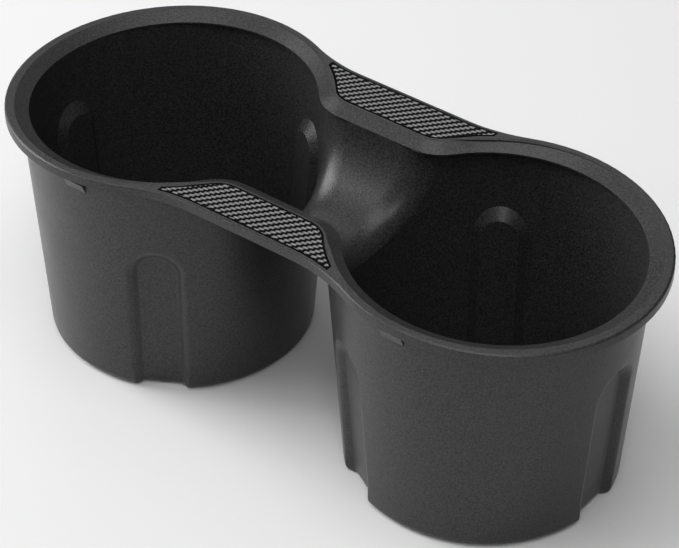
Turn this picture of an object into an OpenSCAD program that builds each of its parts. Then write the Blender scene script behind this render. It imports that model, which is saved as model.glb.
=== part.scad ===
// Two-cup insert for the well of a car's centre console. Two open, tapered cups
// hang from one gently arched rim with two round lobes and a narrower waist.
// A round trough, the saddle, joins the cups under the waist, and a patterned
// panel is set into the rim on each side of it.
// Millimetres. The origin is the middle of the plane that the feet stand on,
// +X runs along the two cups, +Y to the back and +Z up.

/* [Overall] */
// Height of the rim's middle above the feet
overall_h = 69; // [62:0.5:80]
// Radius of the rim's lengthwise arch
arch_r = 1320; // [900:10:4000]

/* [Rim] */
// Distance between the centres of the two lobes
lobe_spacing = 99.6; // [98.8:0.2:101]
// Outer radius of each lobe
lobe_r = 41.9; // [41.5:0.1:45]
// Half width of the rim at the waist
waist_half_w = 34.6; // [32:0.2:37]
// Radius that blends the waist into each lobe
waist_fillet_r = 44; // [15:1:50]
// Height of the rim's outer band
band_h = 2.4; // [2:0.1:3.4]
// Rounding along the top of the outer band
band_round = 0.6; // [0.3:0.1:0.9]
// Width of the bevel that leads down into the cups
bevel_w = 3.6; // [2.4:0.1:4.2]
// Drop of that bevel
bevel_drop = 1.9; // [1.2:0.1:2.1]
// Distance between the centres of the two round openings
opening_spacing = 98.2; // [97.4:0.2:98.8]
// Radius of each opening, at the bevel's lower edge
opening_r = 36.4; // [35.6:0.1:36.6]

/* [Cups] */
// Distance between the axes of the two cups
cup_spacing = 95.8; // [95.6:0.2:97]
// Outer radius of a cup just under the rim
cup_top_r = 39.4; // [38.8:0.1:40.2]
// Outer radius of a cup at its foot
cup_base_r = 34.3; // [32:0.1:37]
// Thickness of the cup wall
wall = 1.7; // [1.5:0.1:2]
// Thickness of the cup floor
floor_t = 2; // [1.6:0.1:3]
// Rounding around the foot
foot_round = 2.6; // [1:0.1:3]
// Rounding between the inner wall and the floor
floor_round = 3; // [1:0.5:5]

/* [Saddle] */
// Radius of the round trough between the cups
saddle_r = 18.2; // [15:0.1:20]
// Thickness of the trough, which its rounded lip thins towards the cups
saddle_wall = 3.4; // [3.2:0.1:4.4]
// Run of the rounded lip from the trough down into each cup
lip_run = 7; // [4:0.1:7.2]
// Rounding of the rim's corners between the trough and the lobes
corner_r = 12; // [9:0.5:16]

/* [Grip ribs] */
// Width of a rib where it leaves the inner wall
rib_root_w = 14; // [12.6:0.1:15]
// Width of a rib's face
rib_face_w = 9.7; // [8:0.1:11]
// How far a rib stands into the cup
rib_h = 2.1; // [2:0.1:3]
// Depth of a rib's arched top below the rim's middle
rib_top_drop = 19; // [16:0.1:22]
// Width of the flute behind a rib, at the outer wall
flute_mouth_w = 14; // [13:0.1:16]
// Width of the flute's floor
flute_floor_w = 9.8; // [8:0.1:10.4]
// Depth of the flute
flute_depth = 2.4; // [1.6:0.1:2.6]
// Depth of the flute's arched top below the rim's middle
flute_top_drop = 22.9; // [21:0.1:27]
// Rounding along the edges of a rib's face
rib_round = 0.5; // [0.2:0.1:0.8]
// Rounding along the edges of a flute's floor
flute_round = 0.8; // [0.2:0.1:1.2]

/* [Snap wedges] */
// Width of a snap wedge
snap_w = 6; // [4:0.1:10]
// Height of a snap wedge
snap_h = 2.8; // [2:0.1:4]
// How far its top edge stands out of the wall
snap_proud = 1; // [0.5:0.1:1.6]
// Gap between the wedge and the rim above it
snap_gap = 1.6; // [1:0.1:2.5]

/* [Trim panels] */
// Thickness of a panel
trim_t = 1; // [0.6:0.1:1.2]
// Thickness of the adhesive film under it
film_t = 0.1; // [0.05:0.01:0.2]
// Clearance around a panel in its recess
trim_clearance = 0.2; // [0.1:0.05:0.4]
// Land left between the recess and the rim's edges
trim_land = 0.5; // [0.3:0.1:1]
// Half length of a panel
trim_half_l = 25.4; // [20:0.2:27]

/* [Hidden] */

eps = 0.01;
arch_fn = 1440;
round_fn = 120;
// Stations along a quarter of a rim contour: lobe, fillet and straight
lobe_n = 28;
fillet_n = 9;
straight_n = 4;
// Steps of the rounded lip, and of the trough from side to side
lip_n = 6;
trough_n = 28;
// Steps of the rounding on a rib or flute
round_n = 4;

cup_x = cup_spacing / 2;
lobe_x = lobe_spacing / 2;
opening_x = opening_spacing / 2;
rim_under = overall_h - band_h;
// The cup body's upper edge lies inside the rim, clear of the bevel
embed = 0.3;
// The trough's lip ends inside the cup wall, and the flutes' feet break out
// just below the plane that the cups stand on
lip_embed = 0.35;
foot_cut = 0.05;
// The cups' hollow is cut up to a level well above the rim
past_rim = overall_h + 5;
trough_z = overall_h - bevel_drop;
recess_depth = trim_t + film_t;

// Outer and inner radius of a cup at height z, and the wall's draft
function cup_r(z) = cup_base_r + (cup_top_r - cup_base_r) * z / rim_under;
function cup_in_r(z) = cup_r(z) - wall;
draft = atan((cup_top_r - cup_base_r) / rim_under);

// Height of the arched rim at x
function arch_z(x) = overall_h - arch_r + sqrt(arch_r * arch_r - x * x);

// A quarter of a contour made of a lobe of radius r about x = cx, a blend of
// radius fr and a straight waist at half width hw. Contours whose r and hw grow
// by what fr loses are parallel to each other.
function blend_x(cx, r, fr, hw) = cx - sqrt(pow(r + fr, 2) - pow(hw + fr, 2));
function quarter(cx, r, fr, hw) =
    let (bx = blend_x(cx, r, fr, hw), a = atan2(hw + fr, bx - cx))
    concat(
        [for (i = [0:lobe_n - 1]) [cx + r * cos(a * i / lobe_n), r * sin(a * i / lobe_n)]],
        [for (i = [0:fillet_n - 1]) let (b = a - 180 + (90 - a) * i / fillet_n)
            [bx + fr * cos(b), hw + fr + fr * sin(b)]],
        [for (i = [0:straight_n - 1]) [bx * (1 - i / straight_n), hw]]
    );
function flip(q) = [for (i = [len(q) - 1:-1:1]) [-q[i][0], q[i][1]]];
function half(q) = concat(q, [[0, q[len(q) - 1][1]]], flip(q), [[-q[0][0], 0]]);
function contour(cx, r, fr, hw) =
    let (h = half(quarter(cx, r, fr, hw)), n = len(h))
    concat(h, [for (i = [n - 2:-1:1]) [h[i][0], -h[i][1]]]);

function outer_edge(d) = contour(lobe_x, lobe_r + d, waist_fillet_r - d, waist_half_w + d);
function opening_edge(d) = contour(opening_x, opening_r + d, corner_r - d, saddle_r + d);

// Rows of points, each row a closed section, joined into one solid. A ring
// closes on itself, and an open row of sections gets a cap at each end.
module skin(rows, ring) {
    n = len(rows);
    m = len(rows[0]);
    last = ring ? n - 1 : n - 2;
    sides = [for (i = [0:last], j = [0:m - 1])
        let (a = i * m + j, b = i * m + (j + 1) % m, c = ((i + 1) % n) * m + (j + 1) % m, d = ((i + 1) % n) * m + j)
        each [[a, b, c], [a, c, d]]];
    caps = ring ? [] : [[for (j = [m - 1:-1:0]) j], [for (j = [0:m - 1]) (n - 1) * m + j]];
    polyhedron(points = [for (row = rows) each row], faces = concat(sides, caps), convexity = 8);
}

// Everything below the rim's arched top, lowered by drop
module under_arch(drop) {
    translate([0, 0, overall_h - arch_r - drop])
        rotate([90, 0, 0])
            cylinder(r = arch_r, h = 4 * lobe_r, center = true, $fn = arch_fn);
}

// The rim: outer band with a rounded top edge, flat deck, bevel and lip
module rim_ring() {
    top_steps = [0, 30, 60, 90];
    outer = concat(
        [[0, -band_h]],
        [for (a = top_steps) [band_round * (cos(a) - 1), band_round * (sin(a) - 1)]]
    );
    inner = [[bevel_w, 0], [0, -bevel_drop], [0, -band_h]];
    outer_rows = [for (p = outer) [for (q = outer_edge(p[0])) [q[0], q[1], arch_z(q[0]) + p[1]]]];
    inner_rows = [for (p = inner) [for (q = opening_edge(p[0])) [q[0], q[1], arch_z(q[0]) + p[1]]]];
    loops = concat(outer_rows, inner_rows);
    skin([for (k = [0:len(loops[0]) - 1]) [for (l = loops) l[k]]], true);
}

module at_cup(side) {
    translate([side * cup_x, 0, 0])
        rotate([0, 0, side > 0 ? 0 : 180])
            children();
}

module cup_outside() {
    rotate_extrude($fn = round_fn)
        union() {
            polygon([[0, 0], [cup_base_r - foot_round, 0], [cup_r(foot_round), foot_round],
                [cup_r(overall_h), overall_h], [0, overall_h]]);
            translate([cup_r(foot_round) - foot_round, foot_round])
                circle(r = foot_round, $fn = 48);
        }
}

module cup_inside() {
    low_r = cup_in_r(floor_t);
    rotate_extrude($fn = round_fn)
        difference() {
            union() {
                polygon([[0, floor_t], [low_r - floor_round, floor_t],
                    [cup_in_r(floor_t + floor_round), floor_t + floor_round],
                    [cup_in_r(past_rim), past_rim], [0, past_rim]]);
                translate([cup_in_r(floor_t + floor_round) - floor_round, floor_t + floor_round])
                    circle(r = floor_round, $fn = 48);
            }
            translate([-floor_round * 2, 0])
                square([floor_round * 2, overall_h * 2]);
        }
}

// How far a wall of radius r falls back at the edges of something w wide on it
function wall_dip(r, w) = r - sqrt(r * r - w * w / 4);

// Half of a tongue's section, from the middle outwards. Depth is measured from
// the wall: the face is w0 wide at depth -h and has an edge rounded by rr, and
// its side is w1 wide at depth d1 and goes on at that slope to depth over.
function side_slope(w0, h, w1, d1) = (w1 - w0) / 2 / (d1 + h);
function tongue_half(w0, h, slope, over, rr) =
    let (
        tip = [w0 / 2 + slope * (over + h), over],
        u = [slope, 1] / norm([slope, 1]),
        s = rr * (1 - u[0]) / u[1],
        c = [w0 / 2 + u[0] * s - u[1] * rr, rr - h],
        a1 = atan2(-u[0], u[1])
    )
    concat(
        [[0, -h]],
        [for (i = [0:round_n]) let (a = -90 + (a1 + 90) * i / round_n) c + rr * [cos(a), sin(a)]],
        [tip, [0, over]]
    );

// A whole section from its half, with the depth along x
module tongue_section(half) {
    n = len(half);
    polygon(concat([for (p = half) [p[1], p[0]]], [for (i = [n - 2:-1:1]) [half[i][1], -half[i][0]]]));
}

// A tongue with sloping sides: an arch over a straight leg
module tongue(half, leg) {
    translate([0, 0, -leg])
        linear_extrude(leg)
            tongue_section(half);
    rotate([0, 90, 0])
        rotate_extrude($fn = 64)
            polygon(half);
}

// Puts children on a wall of radius r at height z, leaning out by the draft
module on_wall(r, z) {
    translate([r, 0, z])
        rotate([0, draft, 0])
            children();
}

module rib() {
    dip = wall_dip(cup_in_r(overall_h / 2), rib_root_w);
    slope = side_slope(rib_face_w, rib_h, rib_root_w, -dip);
    spring_z = overall_h - rib_top_drop - rib_root_w / 2 - slope * dip;
    on_wall(cup_in_r(spring_z), spring_z)
        tongue(tongue_half(rib_face_w, rib_h, slope, wall / 4, rib_round), spring_z + foot_round);
}

// The flute's foot is rounded inwards like the cup's foot on either side of it
module flute() {
    dip = wall_dip(cup_r(overall_h / 2), flute_mouth_w);
    slope = side_slope(flute_floor_w, flute_depth, flute_mouth_w, -dip);
    spring_z = overall_h - flute_top_drop - flute_mouth_w / 2 - slope * dip;
    half = tongue_half(flute_floor_w, flute_depth, slope, wall, flute_round);
    heel = flute_depth + foot_round;
    leg = (spring_z + heel * sin(draft) - foot_round + foot_cut) / cos(draft);
    on_wall(cup_r(spring_z), spring_z) {
        tongue(half, leg);
        translate([-heel, 0, -leg])
            rotate([-90, 0, 0])
                rotate_extrude(angle = 90, $fn = 96)
                    translate([heel, 0])
                        tongue_section(half);
    }
}

// Ribs stand at the far end of each cup and a third of a turn to either side
module at_ribs() {
    for (side = [-1, 1])
        at_cup(side)
            for (a = [0, 120, 240])
                rotate([0, 0, a])
                    children();
}

// A wedge under the rim that is flush at its foot and stands out at its top
module snap_wedge() {
    top_z = rim_under - snap_gap - (overall_h - arch_z(cup_x));
    low_z = top_z - snap_h;
    translate([0, snap_w / 2, 0])
        rotate([90, 0, 0])
            linear_extrude(snap_w)
                polygon([[cup_r(low_z) - wall / 2, low_z], [cup_r(low_z), low_z],
                    [cup_r(top_z) + snap_proud, top_z], [cup_r(top_z) - wall / 2, top_z]]);
}

// Where the inner wall of the right-hand cup lies, p out from the trough's
// axis and a degrees round it from straight down
function wall_x(p, a) = cup_x - sqrt(pow(cup_in_r(trough_z - p * cos(a)), 2) - pow(p * sin(a), 2));

// One section of the trough's hollow, from cup to cup: level in the middle,
// then curving down over the lip until it runs along the inner wall
function trough_section(a) =
    let (
        x1 = wall_x(saddle_r, a),
        start = [x1 - lip_run, saddle_r],
        corner = [x1, saddle_r],
        end = [wall_x(saddle_r + lip_run, a) + lip_embed, saddle_r + lip_run],
        lip = [for (i = [0:lip_n]) let (t = i / lip_n)
            start * pow(1 - t, 2) + corner * 2 * t * (1 - t) + end * t * t],
        core = [cup_x / 2, saddle_r / 2]
    )
    concat([core], [for (i = [lip_n:-1:0]) lip[i]], [for (p = lip) [-p[0], p[1]]], [[-core[0], core[1]]]);

module trough_hollow() {
    skin([for (i = [0:trough_n]) let (a = 90 - 180 * i / trough_n)
        [for (p = trough_section(a)) [p[0], p[1] * sin(a), trough_z - p[1] * cos(a)]]], false);
    translate([-cup_x / 2 - eps, 0, trough_z])
        rotate([0, 90, 0])
            cylinder(r = saddle_r / 2 + 1, h = cup_x + 2 * eps, $fn = round_fn);
}

module trough_outside() {
    translate([-cup_x / 2, 0, trough_z])
        rotate([0, 90, 0])
            cylinder(r = saddle_r + saddle_wall, h = cup_x, $fn = round_fn);
}

// Outline of a panel, grown by grow, on the side of the waist given by side
module trim_outline(side, grow) {
    out_d = -band_round - trim_land - trim_clearance + grow;
    in_d = bevel_w + trim_land + trim_clearance - grow;
    half_l = trim_half_l + grow;
    intersection() {
        difference() {
            polygon(outer_edge(out_d));
            polygon(opening_edge(in_d));
        }
        translate([-half_l, side > 0 ? 0 : -lobe_r])
            square([2 * half_l, lobe_r]);
    }
}

module trim_recess(side) {
    difference() {
        translate([0, 0, overall_h / 2])
            linear_extrude(overall_h)
                trim_outline(side, trim_clearance);
        under_arch(recess_depth);
    }
}

module trim_panel(side) {
    intersection() {
        difference() {
            translate([0, 0, overall_h / 2])
                linear_extrude(overall_h)
                    trim_outline(side, 0);
            under_arch(trim_t);
        }
        under_arch(0);
    }
}

module cup_body() {
    color([0.09, 0.09, 0.10])
        difference() {
            union() {
                difference() {
                    intersection() {
                        union() {
                            for (side = [-1, 1])
                                at_cup(side)
                                    cup_outside();
                            trough_outside();
                        }
                        under_arch(band_h - embed);
                    }
                    for (side = [-1, 1])
                        at_cup(side)
                            cup_inside();
                    trough_hollow();
                }
                intersection() {
                    at_ribs()
                        rib();
                    for (side = [-1, 1])
                        at_cup(side)
                            cup_outside();
                }
                for (side = [-1, 1], a = [-90, 90])
                    at_cup(side)
                        rotate([0, 0, a])
                            snap_wedge();
                rim_ring();
            }
            at_ribs()
                flute();
            for (side = [-1, 1])
                trim_recess(side);
        }
}

module front_trim() {
    color([0.16, 0.16, 0.17])
        trim_panel(-1);
}

module rear_trim() {
    color([0.16, 0.16, 0.17])
        trim_panel(1);
}

cup_body();
front_trim();
rear_trim();
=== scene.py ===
# %% [markdown]
# A two-cup insert for a car's centre console, moulded in one piece of black
# plastic, with a carbon-patterned panel inlaid on each side of its waist. The
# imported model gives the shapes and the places. This lesson gives every surface
# its finish, rounds the edges that a mould leaves soft, and lights the part as
# a product is lit on a pale table.

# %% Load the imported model
import math

import bmesh
import bpy
from mathutils import Matrix, Vector


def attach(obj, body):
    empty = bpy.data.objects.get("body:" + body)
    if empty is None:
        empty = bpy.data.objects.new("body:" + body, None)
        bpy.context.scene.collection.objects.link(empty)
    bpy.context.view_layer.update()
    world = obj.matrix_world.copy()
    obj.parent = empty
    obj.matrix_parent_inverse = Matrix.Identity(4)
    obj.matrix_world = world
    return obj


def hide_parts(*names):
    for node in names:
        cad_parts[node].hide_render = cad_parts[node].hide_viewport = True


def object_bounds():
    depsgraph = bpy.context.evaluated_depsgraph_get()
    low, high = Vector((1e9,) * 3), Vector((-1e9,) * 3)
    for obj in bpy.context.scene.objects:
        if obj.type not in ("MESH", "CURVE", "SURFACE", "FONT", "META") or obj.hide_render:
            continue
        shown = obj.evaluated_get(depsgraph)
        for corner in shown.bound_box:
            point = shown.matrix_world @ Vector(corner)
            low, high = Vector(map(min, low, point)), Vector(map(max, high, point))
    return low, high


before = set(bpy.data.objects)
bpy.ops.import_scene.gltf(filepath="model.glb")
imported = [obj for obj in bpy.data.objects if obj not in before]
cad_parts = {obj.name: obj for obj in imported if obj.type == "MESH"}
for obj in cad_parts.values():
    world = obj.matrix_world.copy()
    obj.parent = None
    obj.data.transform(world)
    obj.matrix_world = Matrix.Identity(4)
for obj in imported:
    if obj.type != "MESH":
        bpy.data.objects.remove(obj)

MM = 0.001
scene = bpy.context.scene
cad_lo, cad_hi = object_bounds()
print("nodes", sorted(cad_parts))
print("size in mm", [round(v / MM, 2) for v in cad_hi - cad_lo])

# %% [markdown]
# The camera comes first, since every choice of detail depends on what it sees.
# A long lens from about three quarters of a metre looks down on the front right
# of the part. The place could be set by eye, but the outline then never quite
# fits, so the angles and the distance are those that make the rims, the feet
# and the waist fall where the picture has them.

# %% Camera
AZIMUTH = math.radians(36.857)
ELEVATION = math.radians(37.901)
ROLL = math.radians(0.538)
DISTANCE = 0.7589
SLIDE_RIGHT = 0.00233
SLIDE_UP = -0.02763
FOCAL_PX = 3126.65
IMAGE_W = 679
SENSOR_W = 36.0

rim_top = cad_hi.z


def camera_axes():
    back = Vector((
        math.sin(AZIMUTH) * math.cos(ELEVATION),
        -math.cos(AZIMUTH) * math.cos(ELEVATION),
        math.sin(ELEVATION),
    ))
    level = Vector((math.cos(AZIMUTH), math.sin(AZIMUTH), 0))
    upright = back.cross(level)
    right = math.cos(ROLL) * level + math.sin(ROLL) * upright
    up = math.cos(ROLL) * upright - math.sin(ROLL) * level
    return right, up, back


right, up, back = camera_axes()
camera_data = bpy.data.cameras.new("camera")
camera_data.sensor_width = SENSOR_W
camera_data.lens = FOCAL_PX * SENSOR_W / IMAGE_W
camera_data.clip_start = 0.01
camera = bpy.data.objects.new("camera", camera_data)
scene.collection.objects.link(camera)
turn = Matrix((right, up, back)).transposed().to_4x4()
place = Vector((0, 0, rim_top)) + back * DISTANCE + right * SLIDE_RIGHT + up * SLIDE_UP
camera.matrix_world = Matrix.Translation(place) @ turn
scene.camera = camera
print("lens in mm", round(camera_data.lens, 1), "camera at", [round(v, 3) for v in place])

# %% [markdown]
# The part stands on a plain pale floor. A black object shows its form by what it
# mirrors, so the light comes from broad soft panels: two on the left for the
# walls, one overhead and a weak one behind for the rim, one high in front that
# reaches into the cups, and a small one beside the camera that picks out the
# round tops of the ribs. Nothing stands on the right, where the walls fall off
# into black. A few bare lamps would give hard spots on every rounded edge.

# %% Floor and backdrop
FLOOR_HALF = 1.6


def link(name, mesh):
    piece = bpy.data.objects.new(name, mesh)
    scene.collection.objects.link(piece)
    return piece


def floor_sheet():
    bm = bmesh.new()
    bmesh.ops.create_grid(bm, x_segments=1, y_segments=1, size=FLOOR_HALF)
    mesh = bpy.data.meshes.new("floor")
    bm.to_mesh(mesh)
    bm.free()
    return link("floor", mesh)


floor = floor_sheet()


def floor_material():
    mat = bpy.data.materials.new("pale_floor")
    mat.use_nodes = True
    shader = mat.node_tree.nodes["Principled BSDF"]
    shader.inputs["Base Color"].default_value = (0.8, 0.8, 0.8, 1)
    shader.inputs["Roughness"].default_value = 0.9
    shader.inputs["Specular IOR Level"].default_value = 0.1
    return mat


floor.data.materials.append(floor_material())

# %% Studio light
LIGHT_CENTRE = Vector((0, 0, 0.04))


def soft_panel(name, azimuth, elevation, distance, width, height, watts):
    data = bpy.data.lights.new(name, "AREA")
    data.shape = "RECTANGLE"
    data.size = width
    data.size_y = height
    data.energy = watts
    lamp = bpy.data.objects.new(name, data)
    scene.collection.objects.link(lamp)
    a = math.radians(azimuth)
    e = math.radians(elevation)
    away = Vector((math.sin(a) * math.cos(e), -math.cos(a) * math.cos(e), math.sin(e)))
    lamp.location = LIGHT_CENTRE + away * distance
    lamp.rotation_euler = (-away).to_track_quat("-Z", "Y").to_euler()
    return lamp


# Azimuth 0 stands in front of the part and 90 on its right
soft_panel("left_panel", -75, 18, 1.45, 0.8, 1.4, 25)
soft_panel("left_front_panel", -50, 30, 1.5, 0.6, 1.2, 4)
soft_panel("top_panel", 0, 88, 1.5, 1.5, 1.5, 4.5)
soft_panel("front_panel", 20, 76, 1.5, 1.2, 0.9, 7)
soft_panel("back_panel", 217, 42, 1.5, 0.9, 0.7, 2)
soft_panel("rib_panel", 37, 44, 1.5, 0.45, 0.45, 3.2)


def pale_world():
    world = bpy.data.worlds.new("studio")
    world.use_nodes = True
    tree = world.node_tree
    sky = tree.nodes["Background"]
    sky.inputs["Color"].default_value = (1, 1, 1, 1)
    path = tree.nodes.new("ShaderNodeLightPath")
    seen = tree.nodes.new("ShaderNodeMapRange")
    seen.inputs["To Min"].default_value = 0.14
    seen.inputs["To Max"].default_value = 1.0
    tree.links.new(path.outputs["Is Camera Ray"], seen.inputs["Value"])
    tree.links.new(seen.outputs["Result"], sky.inputs["Strength"])
    return world


scene.world = pale_world()
scene.view_settings.view_transform = "Standard"

# %% [markdown]
# The body is a plain black plastic with a fine spark-eroded grain. The grain
# could be modelled, but its pits are a fraction of a millimetre wide, so it is
# bump from a fine noise, which also speckles the colour. A broader noise makes
# the sheen uneven. Both are read from Object coordinates so that they have one scale on every face.

# %% Grained plastic
def grained_plastic():
    mat = bpy.data.materials.new("grained_plastic")
    mat.use_nodes = True
    nodes = mat.node_tree.nodes
    links = mat.node_tree.links
    shader = nodes["Principled BSDF"]
    shader.inputs["Specular IOR Level"].default_value = 0.38
    place = nodes.new("ShaderNodeTexCoord")

    fine = nodes.new("ShaderNodeTexNoise")
    fine.inputs["Scale"].default_value = 1 / (0.45 * MM)
    fine.inputs["Detail"].default_value = 3
    links.new(place.outputs["Object"], fine.inputs["Vector"])

    broad = nodes.new("ShaderNodeTexNoise")
    broad.inputs["Scale"].default_value = 1 / (9 * MM)
    broad.inputs["Detail"].default_value = 2
    links.new(place.outputs["Object"], broad.inputs["Vector"])

    speck = nodes.new("ShaderNodeMapRange")
    speck.inputs["From Min"].default_value = 0.35
    speck.inputs["From Max"].default_value = 0.65
    links.new(fine.outputs["Fac"], speck.inputs["Value"])

    tint = nodes.new("ShaderNodeMix")
    tint.data_type = "RGBA"
    tint.inputs[6].default_value = (0.013, 0.013, 0.0135, 1)
    tint.inputs[7].default_value = (0.042, 0.042, 0.0435, 1)
    links.new(speck.outputs["Result"], tint.inputs["Factor"])
    links.new(tint.outputs[2], shader.inputs["Base Color"])

    sheen = nodes.new("ShaderNodeMapRange")
    sheen.inputs["To Min"].default_value = 0.28
    sheen.inputs["To Max"].default_value = 0.4
    links.new(broad.outputs["Fac"], sheen.inputs["Value"])
    links.new(sheen.outputs["Result"], shader.inputs["Roughness"])

    bump = nodes.new("ShaderNodeBump")
    bump.inputs["Strength"].default_value = 0.5
    bump.inputs["Distance"].default_value = 0.08 * MM
    links.new(fine.outputs["Fac"], bump.inputs["Height"])
    links.new(bump.outputs["Normal"], shader.inputs["Normal"])
    return mat


plastic = grained_plastic()

# %% [markdown]
# The two panels carry a carbon-weave pattern under a clear surface: pale rows on
# black that zigzag as the threads pass over and under. An image could hold it,
# but a rule does as well. The pattern space is turned so that X runs along the
# rows, a triangle wave shifts Y, and the place between two rows then says
# whether a pale thread lies there.

# %% Carbon weave
ROW_TURN = math.radians(50)
ROW_PITCH = 1.86 * MM
WAVE_LENGTH = 1.23 * MM
WAVE_HEIGHT = 0.52 * MM


def carbon_weave():
    mat = bpy.data.materials.new("carbon_weave")
    mat.use_nodes = True
    nodes = mat.node_tree.nodes
    links = mat.node_tree.links
    shader = nodes["Principled BSDF"]

    def math_node(operation, a, b=None):
        node = nodes.new("ShaderNodeMath")
        node.operation = operation
        for socket, value in zip(node.inputs, (a, b)):
            if value is None:
                continue
            if isinstance(value, (int, float)):
                socket.default_value = value
            else:
                links.new(value, socket)
        return node.outputs[0]

    place = nodes.new("ShaderNodeTexCoord")
    turned = nodes.new("ShaderNodeMapping")
    turned.vector_type = "TEXTURE"
    turned.inputs["Rotation"].default_value = (0, 0, ROW_TURN)
    links.new(place.outputs["Object"], turned.inputs["Vector"])
    split = nodes.new("ShaderNodeSeparateXYZ")
    links.new(turned.outputs["Vector"], split.inputs["Vector"])
    along, across = split.outputs["X"], split.outputs["Y"]

    # Where the mark is set the panel stays black: painted shadow along the gap round its edge.
    painted_gap_shadow = nodes.new("ShaderNodeAttribute")
    painted_gap_shadow.attribute_name = "painted_gap_shadow"
    inside = math_node("SUBTRACT", 1.0, painted_gap_shadow.outputs["Fac"])

    wave = math_node("PINGPONG", math_node("DIVIDE", along, WAVE_LENGTH / 2), 1.0)
    rising = math_node("LESS_THAN", math_node("FRACT", math_node("DIVIDE", along, WAVE_LENGTH)), 0.5)
    shifted = math_node("ADD", across, math_node("MULTIPLY", wave, WAVE_HEIGHT))
    row = math_node("FRACT", math_node("DIVIDE", shifted, ROW_PITCH))
    off_centre = math_node("ABSOLUTE", math_node("SUBTRACT", row, 0.5))

    edge = nodes.new("ShaderNodeMapRange")
    edge.interpolation_type = "SMOOTHSTEP"
    edge.inputs["From Min"].default_value = 0.17
    edge.inputs["From Max"].default_value = 0.27
    edge.inputs["To Min"].default_value = 1.0
    edge.inputs["To Max"].default_value = 0.0
    links.new(off_centre, edge.inputs["Value"])
    thread = math_node("MULTIPLY", edge.outputs["Result"], inside)
    lit = math_node("MULTIPLY", thread, math_node("ADD", 0.6, math_node("MULTIPLY", rising, 0.4)))

    tint = nodes.new("ShaderNodeMix")
    tint.data_type = "RGBA"
    tint.inputs[6].default_value = (0.002, 0.002, 0.002, 1)
    tint.inputs[7].default_value = (0.26, 0.26, 0.26, 1)
    links.new(lit, tint.inputs["Factor"])
    links.new(tint.outputs[2], shader.inputs["Base Color"])
    shader.inputs["Specular IOR Level"].default_value = 0.03
    shader.inputs["Roughness"].default_value = 0.35

    bump = nodes.new("ShaderNodeBump")
    bump.inputs["Strength"].default_value = 0.3
    bump.inputs["Distance"].default_value = 0.08 * MM
    links.new(thread, bump.inputs["Height"])
    links.new(bump.outputs["Normal"], shader.inputs["Normal"])
    return mat


weave = carbon_weave()

# %% [markdown]
# The flutes pressed into each cup's outside have soft mouths, where the wall
# rolls over into the slope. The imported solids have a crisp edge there. A bevel
# that wide fails on the long thin faces of the wall, so the surface is treated
# as a height over the flute's own plane: the faces around a mouth are cut finer,
# and each point then moves to a smooth minimum of the wall and of the slope.

# %% Cup and flute measures
CUP_X = 47.9 * MM
FOOT_R = 34.3 * MM
TOP_R = 39.4 * MM
WALL_TOP = 66.6 * MM
WALL = 1.7 * MM
FLUTE_TOP = 46.1 * MM
MOUTH_W = 14.0 * MM
FLOOR_W = 9.8 * MM
FLUTE_DEPTH = 2.4 * MM
MOUTH_ROLL = 1.1 * MM
ROLL_STARTS = 3.2 * MM
ROLL_FULL = 7.0 * MM
FINE = 0.45 * MM

draft = math.atan((TOP_R - FOOT_R) / WALL_TOP)


def cup_r(z):
    return FOOT_R + (TOP_R - FOOT_R) * z / WALL_TOP


def wall_dip(r, y):
    return r - math.sqrt(r * r - y * y)


mid_dip = wall_dip(cup_r(cad_hi.z / 2), MOUTH_W / 2)
side_run = (MOUTH_W - FLOOR_W) / 2 / (FLUTE_DEPTH - mid_dip)
spring_z = FLUTE_TOP - MOUTH_W / 2 - side_run * mid_dip


def flute_frames():
    for side in (-1, 1):
        for a in (0, 120, 240):
            turn = math.radians(a if side > 0 else a + 180)
            axis = Matrix.Translation((side * CUP_X, 0, 0)) @ Matrix.Rotation(turn, 4, "Z")
            yield axis @ Matrix.Translation((cup_r(spring_z), 0, spring_z)) @ Matrix.Rotation(draft, 4, "Y")


def wall_depth(p):
    z = spring_z + p.z * math.cos(draft)
    return -wall_dip(cup_r(z), p.y) * math.cos(draft)


def slope_depth(p):
    out = abs(p.y) if p.z < 0 else math.hypot(p.y, p.z)
    return max(-FLUTE_DEPTH, (out - FLOOR_W / 2) / side_run - FLUTE_DEPTH)


def rolled_depth(p, roll):
    wall, slope = wall_depth(p), slope_depth(p)
    if roll < 0.01 * MM:
        return min(wall, slope)
    h = min(max(0.5 + 0.5 * (wall - slope) / roll, 0), 1)
    return wall + (slope - wall) * h - roll * h * (1 - h)


# %% Soft flute mouths
REACH_Y = 10.5 * MM
REACH_TOP = 11.5 * MM
SAME_SURFACE = 0.3 * MM


def surface_depth(p):
    return min(wall_depth(p), slope_depth(p))


def outside_faces(bm, to_local, low, high, half_width):
    chosen = []
    for face in bm.faces:
        points = [to_local @ v.co for v in face.verts]
        middle = sum(points, Vector()) / len(points)
        if not low < middle.z < high or abs(middle.y) > half_width:
            continue
        if max(abs(p.y) for p in points) > 1.6 * half_width:
            continue
        if all(abs(p.x - surface_depth(p)) < SAME_SURFACE for p in points):
            chosen.append(face)
    edges = {e for f in chosen for e in f.edges}
    verts = {v for f in chosen for v in f.verts}
    return chosen + list(edges) + list(verts)


def cut(bm, geom, local, point, normal):
    return bmesh.ops.bisect_plane(
        bm, geom=geom, dist=0.002 * MM,
        plane_co=local @ Vector(point),
        plane_no=local.to_3x3() @ Vector(normal),
    )["geom"]


def steps(start, end, step):
    count = max(1, round((end - start) / step))
    return [start + (end - start) * i / count for i in range(count + 1)]


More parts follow.
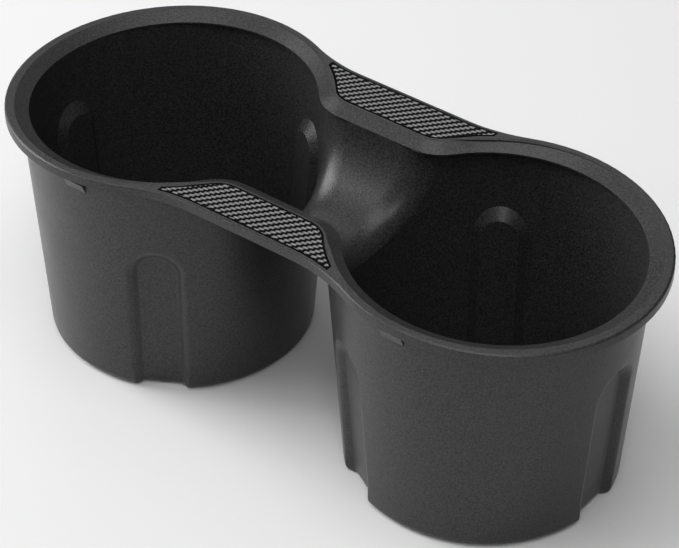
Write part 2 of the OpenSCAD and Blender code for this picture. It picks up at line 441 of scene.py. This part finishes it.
def refine(bm, local, foot):
    to_local = local.inverted()
    arch_low = -1 * MM
    geom = outside_faces(bm, to_local, -WALL_TOP, WALL_TOP, REACH_Y)
    for height in (foot, arch_low, REACH_TOP):
        geom = cut(bm, geom, local, (0, 0, height), (0, 0, 1))
    for y in (-REACH_Y, REACH_Y):
        geom = cut(bm, geom, local, (0, y, 0), (0, 1, 0))
    geom = outside_faces(bm, to_local, foot, arch_low, REACH_Y)
    for y in steps(FLOOR_W / 2 + 0.3 * MM, REACH_Y, FINE):
        for sign in (-1, 1):
            geom = cut(bm, geom, local, (0, sign * y, 0), (0, 1, 0))
    for z in steps(foot, foot + 6 * MM, 1 * MM):
        geom = cut(bm, geom, local, (0, 0, z), (0, 0, 1))
    geom = outside_faces(bm, to_local, arch_low, REACH_TOP, REACH_Y)
    for y in steps(-REACH_Y, REACH_Y, FINE):
        geom = cut(bm, geom, local, (0, y, 0), (0, 1, 0))
    for z in steps(arch_low, REACH_TOP, FINE):
        geom = cut(bm, geom, local, (0, 0, z), (0, 0, 1))


def roll_mouth(bm, local, foot):
    to_local = local.inverted()
    moved = 0
    for vert in bm.verts:
        p = to_local @ vert.co
        out = abs(p.y) if p.z < 0 else math.hypot(p.y, p.z)
        beside = FLOOR_W / 2 + 0.5 * MM < out and abs(p.y) < REACH_Y + FINE
        if not beside or not foot < p.z < REACH_TOP or abs(p.x - surface_depth(p)) > SAME_SURFACE:
            continue
        rise = min(max((vert.co.z - ROLL_STARTS) / (ROLL_FULL - ROLL_STARTS), 0), 1)
        p.x = rolled_depth(p, MOUTH_ROLL * rise)
        vert.co = local @ p
        moved += 1
    return moved


def soften_flutes(bm):
    foot = (ROLL_STARTS - spring_z) / math.cos(draft)
    for local in flute_frames():
        refine(bm, local, foot)
        print("flute: points moved", roll_mouth(bm, local, foot), "faces in all", len(bm.faces))


# %% [markdown]
# A mould leaves no edge sharp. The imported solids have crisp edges, so each
# visible piece starts as a merged copy of its solid, and the outer edges where
# two faces meet at more than a slight angle are bevelled. Shading by the faces
# around a point streaks the walls, where the faces are uneven strips, so a point
# on a cup's wall takes its normal from the cone itself.

# %% Rounded pieces
FLAT_ANGLE = math.radians(0.6)
SHARP_ANGLE = math.radians(24)
SMOOTH_COS = math.cos(math.radians(31))
WALL_COS = math.cos(math.radians(15))
CONE_COS = math.cos(math.radians(3))
NEAR_CONE = 0.06 * MM
ARCH_R = 1320 * MM
LIP_DROP = 2.0 * MM
# Width of the painted shadow band round each panel's top
GAP_SHADOW_WIDTH = 0.4 * MM


def at_lip(edge):
    # The lip overhangs a cup's wall by less than the rounding, so it stays as it is
    x, y, z = (edge.verts[0].co + edge.verts[1].co) / 2
    level = cad_hi.z - x * x / (2 * ARCH_R) - LIP_DROP
    inside = math.hypot(abs(x) - CUP_X, y) < TOP_R - WALL / 2
    return inside and abs(z - level) < 0.3 * MM


def sharp_chains(bm):
    left = {e for e in bm.edges
            if e.is_manifold and e.is_convex and e.calc_face_angle(0) > SHARP_ANGLE
            and not at_lip(e)}
    chains = []
    while left:
        chain, front = [], [left.pop()]
        while front:
            edge = front.pop()
            chain.append(edge)
            joined = {e for v in edge.verts for e in v.link_edges} & left
            left -= joined
            front.extend(joined)
        chains.append(chain)
    return chains


def round_edges(bm, radius, segments):
    chains = sharp_chains(bm)
    for chain in chains:
        bmesh.ops.bevel(
            bm, geom=chain, offset=radius, offset_type="OFFSET", segments=segments,
            profile=0.5, affect="EDGES", clamp_overlap=True, material=-1,
        )
    return len(chains)


def cone_normal(vert):
    side = 1 if vert.co.x > 0 else -1
    out = Vector((vert.co.x - side * CUP_X, vert.co.y, 0))
    r = out.length
    normal = out.normalized() * math.cos(draft) - Vector((0, 0, math.sin(draft)))
    for gap, sign in ((r - cup_r(vert.co.z), 1), (r - cup_r(vert.co.z) + WALL, -1)):
        if abs(gap) < NEAR_CONE and any(f.normal.dot(normal) * sign > CONE_COS for f in vert.link_faces):
            return normal * sign
    return None


def corner_normals(bm):
    bm.normal_update()
    cones = {v: cone_normal(v) for v in bm.verts}
    areas = {f: f.calc_area() for f in bm.faces}
    normals = []
    for face in bm.faces:
        for vert in (loop.vert for loop in face.loops):
            cone = cones[vert]
            if cone and cone.dot(face.normal) > WALL_COS:
                normals.append(cone)
                continue
            near = [f for f in vert.link_faces if f.normal.dot(face.normal) > SMOOTH_COS]
            total = sum((f.normal * areas[f] for f in near), Vector())
            normals.append(total.normalized() if total.length > 0 else face.normal.copy())
    return normals


# The faces off each panel's top and a band round the top's edge are marked so that they carry no pale
# thread. That band shows black as painted shadow of the gap round the panel.
def paint_gap_shadow(bm):
    layer = bm.faces.layers.float.new("painted_gap_shadow")
    top = [f for f in bm.faces if f.normal.z > 0.97]
    bmesh.ops.inset_region(bm, faces=top, thickness=GAP_SHADOW_WIDTH, use_even_offset=True)
    for face in bm.faces:
        face[layer] = 1.0
    for face in top:
        face[layer] = 0.0


def rounded_piece(node, name, radius, segments, prepare):
    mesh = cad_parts[node].data.copy()
    mesh.name = name
    bm = bmesh.new()
    bm.from_mesh(mesh)
    bmesh.ops.remove_doubles(bm, verts=bm.verts, dist=0.002 * MM)
    flat = [e for e in bm.edges if not at_lip(e)]
    bmesh.ops.dissolve_limit(bm, angle_limit=FLAT_ANGLE, verts=bm.verts, edges=flat)
    prepare(bm)
    chains = round_edges(bm, radius, segments)
    print(name, "rounded chains", chains, "open edges", sum(not e.is_manifold for e in bm.edges))
    for face in bm.faces:
        face.smooth = True
    normals = corner_normals(bm)
    bm.to_mesh(mesh)
    bm.free()
    mesh.normals_split_custom_set(normals)
    mesh.materials.clear()
    piece = link(name, mesh)
    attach(piece, "root")
    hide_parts(node)
    print(name, "finished with", len(mesh.polygons), "faces")
    return piece


body = rounded_piece("cup_body", "cup_body_shell", 0.3 * MM, 3, soften_flutes)
body.data.materials.append(plastic)

for side in ("front", "rear"):
    panel = rounded_piece(side + "_trim", side + "_trim_panel", 0.12 * MM, 2, paint_gap_shadow)
    panel.data.materials.append(weave)
